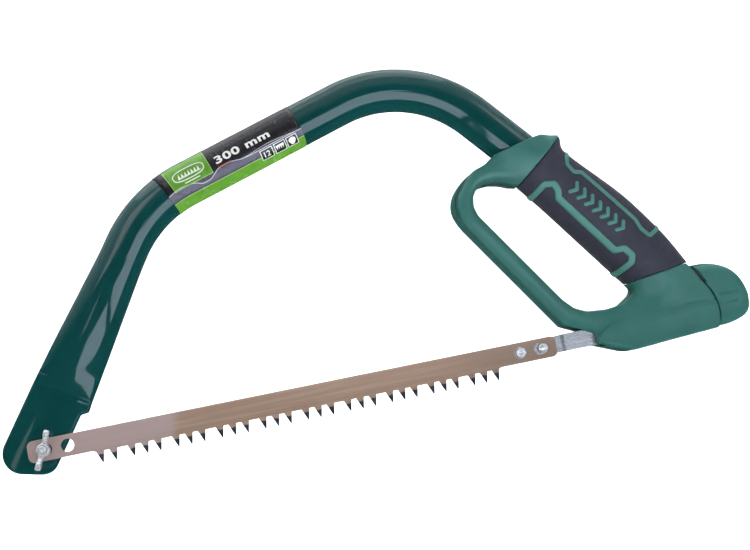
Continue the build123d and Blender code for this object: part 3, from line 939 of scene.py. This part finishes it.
def chevrons():
    """Seven open chevrons in a row down the grip."""
    start, end = (336.0, 89.6), (360.0, 60.6)
    run = math.degrees(math.atan2(end[1] - start[1], end[0] - start[0]))
    marks = []
    for k in range(7):
        tip = toward(start, run, 6.1 * k)
        marks.append([toward(tip, run + 125, 4.2), tip, toward(tip, run - 125, 4.2)])
    return marks


make_sleeve()
raised("grip_line_front", [[(*p, 1.6) for p in FRONT_STRIPE]], 2.0, "grip_stripe_front")
raised("grip_line_back", [[(*p, 1.6) for p in BACK_STRIPE]], 1.45, "grip_stripe_back")
raised("grip_chevrons", chevrons(), 1.3, "grip_emblem")


def make_cap():
    b = Block((385.0, -16.5, -11.0), (435.0, 16.5, 34.5), CAP_GRID)
    outline = b.outline([
        (380.0, 32.2), (412.5, 31.6, 34), (427.0, 24.8, 20), (432.9, 9.0, 28), (430.6, -4.0, 9),
        (418.0, -8.0, 40), (390.0, -8.6),
    ])
    front = np.minimum(b.disc(PIVOT, CAP_R), b.outline([PIVOT, (405.3, 19.7), (398.8, 33.0), (370, 60)]))
    depth = CAP_HALF + 0.1 - ridge_drop(b, (402, 7.2), (424, 7.8), 0.07)
    body = b.slab(outline, depth, 8.5)
    body = cut(body, b.slab(front, THROUGH), 0.8)
    # pockets for the yoke's two arms
    pocket = b.outline([
        toward(PIVOT, 78, 12), toward(PIVOT, 62, 30), toward(PIVOT, 47, 43), toward(PIVOT, 1.5, 47),
        toward(PIVOT, -14, 28), toward(PIVOT, -30, 12),
    ])
    for side in (-1, 1):
        body = cut(body, b.slab(pocket, 1.6, middle=side * 7.1), 0.3)
    # two short grooves on each broad face
    for line in ([(410.4, 11.0), (422.6, 10.6)], [(410.9, 4.7), (421.2, 5.2)]):
        groove = b.strip(line, 0.35)
        body = cut(body, np.maximum(groove[:, None, :], 14.2 - np.abs(b.y)), 0.5)
    field_piece("lever_cap_body", b, body, MOULDING, "tension_lever", ["lever_cap"])


make_cap()

# ---------------------------------------------------------------- wing nut, bolt and pins
def make_wing_nut():
    b = Block((-13.5, -13.2, -13.5), (13.5, -1.6, 13.5), NUT_GRID)
    a = math.radians(WING_ANGLE)
    along = b.x * math.cos(a) + b.z * math.sin(a)
    side = -b.x * math.sin(a) + b.z * math.cos(a)
    shape = np.broadcast_shapes(along.shape, b.y.shape)
    r, y = np.broadcast_to(np.abs(along), shape), np.broadcast_to(b.y, shape)
    ear = outline_distance([
        (0.5, -3.4), (7.4, -3.8, 3), (11.5, -6.2, 2.4), (11.6, -12.0, 2.2), (7.6, -12.0, 2.2),
        (5.2, -8.8, 3), (0.5, -8.2),
    ], r, y)
    thick = 1.15 + 0.055 * np.clip(r - 3, 0, 9)
    ears = eased(ear, np.abs(side) - thick, 0.9)
    across = np.hypot(b.x, b.z)
    taper = 4.1 - 0.6 * (-2.4 - b.y) / 6.0
    hub = eased(across - taper, np.abs(b.y + 5.4) - 3.0, 0.5)
    nut = cut(join(hub, ears, 1.6), across - BOLT_R - 0.06, 0.3)
    field_piece("wing_nut_cast", b, nut, ZINC, "nut", ["wing_nut"])


def turned(name, at_x, outline, body, node, thread=None):
    """A round zinc part about an axis across the saw, from (radius, y) points. It may have a thread."""
    points, around = [], 64
    low, high, pitch, depth = thread or (0, 0, 1, 0)
    for radius, y in outline:
        for k in range(around):
            a = 2 * math.pi * k / around
            r = radius
            if thread and low < y < high:
                wave = abs(((y / pitch + k / around) % 1.0) - 0.5) * 2
                r -= depth * wave * min(1.0, (y - low) / 0.4, (high - y) / 0.4)
            points.append((at_x + r * math.cos(a), y, r * math.sin(a)))
    piece(name, points, capped_rings(len(outline), around), ZINC, body, [node])


def dome(radius, y_edge, rise, steps=8):
    """From the middle of a domed end out to its edge, at y falling away from the near side."""
    line = []
    for k in range(steps + 1):
        a = math.pi / 2 * k / steps
        line.append((max(radius * math.sin(a), 0.02), y_edge - rise * math.cos(a)))
    return line


make_wing_nut()
BOLT_SHANK = dome(2.3, -9.2, 0.4, 6) + [(2.42, y) for y in np.arange(-9.1, 1.55, 0.1)]
BOLT_HEAD = [(5.7, 1.5), (6.1, 1.7), (6.2, 2.0), (5.9, 2.9), (5.2, 3.8), (4.0, 4.4), (2.4, 4.66), (0.02, 4.7)]
BOLT_THREAD = (-9.15, -2.5, 0.8, 0.28)  # from y, to y, pitch, depth
PIN_FORM = dome(2.9, -3.3, 0.6) + [
    (3.05, -3.1), (3.05, -2.6), (2.9, -2.42), (2.0, -2.4), (2.0, 0.8), (1.8, 0.9), (0.02, 0.9),
]
STUD_FORM = [
    (0.02, -2.62), (1.0, -2.62), (1.15, -2.7), (2.7, -2.7), (3.05, -2.6), (3.2, -2.35), (3.2, 0.75),
    (3.05, 0.9), (0.02, 0.9),
]
turned("front_bolt_turned", 0.0, BOLT_SHANK + BOLT_HEAD, "frame", "front_bolt", BOLT_THREAD)
turned("blade_pin_turned", PIN_X, PIN_FORM, "blade_carriage", "blade_pin")
turned("locating_stud_turned", STUD_X, STUD_FORM, "blade_carriage", "locating_stud")

# ---------------------------------------------------------------- CAD nodes that keep their shape
for node, mat in {
    "blade": BLADE, "drawbar": BRIGHT, "handle_screws": ZINC,
    "cam_follower": STEEL, "pivot_pin": STEEL, "tube_lock_pin": STEEL, "lever_yoke": STEEL,
    "cap_rivets": STEEL,
}.items():
    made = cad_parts[node]
    made.data.materials.clear()
    made.data.materials.append(mat)

# ---------------------------------------------------------------- floor, light and camera
# the saw is shown held up, so that the opened lever hangs clear of the floor
STUDIO_FLOOR_Z = -0.13
TENT_R = 2.1


def studio_mesh(name, points, faces, mat):
    """A mesh of the studio's, with its points in metres, linked to the scene."""
    mesh = bpy.data.meshes.new(name)
    mesh.from_pydata(points, [], faces)
    mesh.materials.append(mat)
    obj = bpy.data.objects.new(name, mesh)
    bpy.context.scene.collection.objects.link(obj)
    return obj


def make_studio():
    """A pale floor that curves up all round into a pale wall."""
    flat_r, curve_r, steps, around = 2.0, 1.2, 16, 96
    profile_line = [(0.6, 0.0), (1.2, 0.0), (flat_r, 0.0)]
    for k in range(1, steps + 1):
        a = math.pi / 2 * k / steps
        profile_line.append((flat_r + curve_r * math.sin(a), curve_r * (1 - math.cos(a))))
    wall_r = flat_r + curve_r
    profile_line += [(wall_r, 2.0), (wall_r, 3.2)]
    points = []
    for r, z in profile_line:
        for k in range(around):
            a = 2 * math.pi * k / around
            points.append((r * math.cos(a), r * math.sin(a), z + STUDIO_FLOOR_Z))
    f = Finish("studio_paper", shade(248, 249, 249), 0.95, specular=0.0)
    f.tint(f.ramp(f.noise(3), 0.3, 0.7, 0, 0.5), shade(245, 246, 246))
    obj = studio_mesh("studio_floor", points, bowl(len(profile_line), around), f.mat)
    obj.data.polygons.foreach_set("use_smooth", [True] * len(obj.data.polygons))


def make_tent():
    """A dark tent that only glossy surfaces see, painting dark reflections as black card round a small set
    keeps reflections deep; higher up it is paler, a painted reflection of broad soft light.
    """
    points = []
    around, rings = 48, 14
    for i in range(rings):
        a = math.radians(-1.0 + 80.0 * i / (rings - 1))
        for k in range(around):
            t = 2 * math.pi * k / around
            out, up = TENT_R * math.cos(a), TENT_R * max(0, math.sin(a))
            points.append((out * math.cos(t), out * math.sin(t), 0.001 + up))
    f = Finish("black_card", shade(50, 52, 54), 0.9, specular=0.0)
    # painted reflection: the tent is paler from 0.5 to 1.5 m up, so glossy surfaces show a broad soft light
    # in their upper half
    f.tint(f.ramp(f.axis("Z"), 0.5, 1.5, 0, 1), shade(190, 194, 198))
    f.tint(f.ramp(f.noise(3), 0.3, 0.7, 0, 0.2), shade(60, 62, 64))
    obj = studio_mesh("black_card", points, bowl(rings, around), f.mat)
    obj.visible_camera = False
    obj.visible_diffuse = False
    obj.visible_shadow = False
    obj.visible_transmission = False


def lamp(name, at, aim, size, power):
    data = bpy.data.lights.new(name, "AREA")
    data.shape = "RECTANGLE"
    data.size, data.size_y = size
    data.energy = power
    obj = bpy.data.objects.new(name, data)
    obj.location = at
    obj.rotation_mode = "QUATERNION"
    obj.rotation_quaternion = (Vector(aim) - Vector(at)).to_track_quat("-Z", "Y")
    obj.visible_camera = False
    bpy.context.scene.collection.objects.link(obj)
    return obj


make_studio()
make_tent()
world = bpy.data.worlds.new("studio_air")
world.use_nodes = True
background = world.node_tree.nodes["Background"]
background.inputs["Color"].default_value = (1.0, 1.0, 1.0, 1)
background.inputs["Strength"].default_value = 0.18
bpy.context.scene.world = world

# each lamp: where it is, what it faces, its size in metres and its power in watts
lamp("overhead_softbox", (0.0, 0.1, 1.7), (0, 0.0, 0.0), (2.2, 1.6), 11.5)
lamp("key_softbox", (-0.9, -1.2, 1.1), (0, 0, 0.1), (0.8, 0.8), 2.9)
lamp("fill_softbox", (1.3, -0.9, 0.7), (0, 0, 0.1), (0.6, 0.9), 2.2)
# these light the wall and floor, and aren't seen in the gloss
for side in (-1, 1):
    wall_lamp = lamp("wall_light", (1.4 * side, 0.9, 2.2), (0.7 * side, 2.5, 0.0), (1.4, 0.8), 52)
    wall_lamp.visible_glossy = False
floor_lamp = lamp("floor_light", (0.0, 1.5, 2.0), (0.0, 1.7, 0.0), (2.4, 0.8), 30)
floor_lamp.visible_glossy = False
# white cards lying flat at the saw's lowest level, seen only as reflections: low X, high X, low Y, high Y
CARDS = {
    "table_card": (0.10, 0.50, -0.75, -0.10),
    "bend_card": (-0.06, 0.10, -0.45, -0.10),
    "leg_card": (-0.22, -0.085, -0.33, -0.12),
}
CARD_HEIGHT, CARD_WATTS_PER_M2, CARD_COLOUR = 0.003, 10.5, (0.84, 0.93, 1.1)
for name, (x0, x1, y0, y1) in CARDS.items():
    at = ((x0 + x1) / 2, (y0 + y1) / 2)
    size = (x1 - x0, y1 - y0)
    card = lamp(name, (*at, CARD_HEIGHT), (*at, 1.0), size, CARD_WATTS_PER_M2 * size[0] * size[1])
    card.data.color = CARD_COLOUR
    card.visible_diffuse = False
lamp("nose_card", (-0.62, -1.25, 0.06), (-0.2, 0.0, 0.03), (0.12, 0.3), 0.14)

CAMERA_AT, CAMERA_AIM, CAMERA_ROLL = (-0.11575, -0.72188, 0.008), (0.00274, 0.0, 0.07695), -11.604
camera_data = bpy.data.cameras.new("camera")
camera_data.lens = 58.8
camera_data.sensor_width = 36.0
camera_data.clip_start = 0.01
camera_data.clip_end = 50.0
camera = bpy.data.objects.new("camera", camera_data)
camera.location = CAMERA_AT
camera.rotation_mode = "QUATERNION"
look = (Vector(CAMERA_AIM) - camera.location).to_track_quat("-Z", "Y")
camera.rotation_quaternion = look @ Quaternion((0, 0, 1), math.radians(CAMERA_ROLL))
bpy.context.scene.collection.objects.link(camera)
bpy.context.scene.camera = camera
bpy.context.scene.view_settings.view_transform = "Standard"
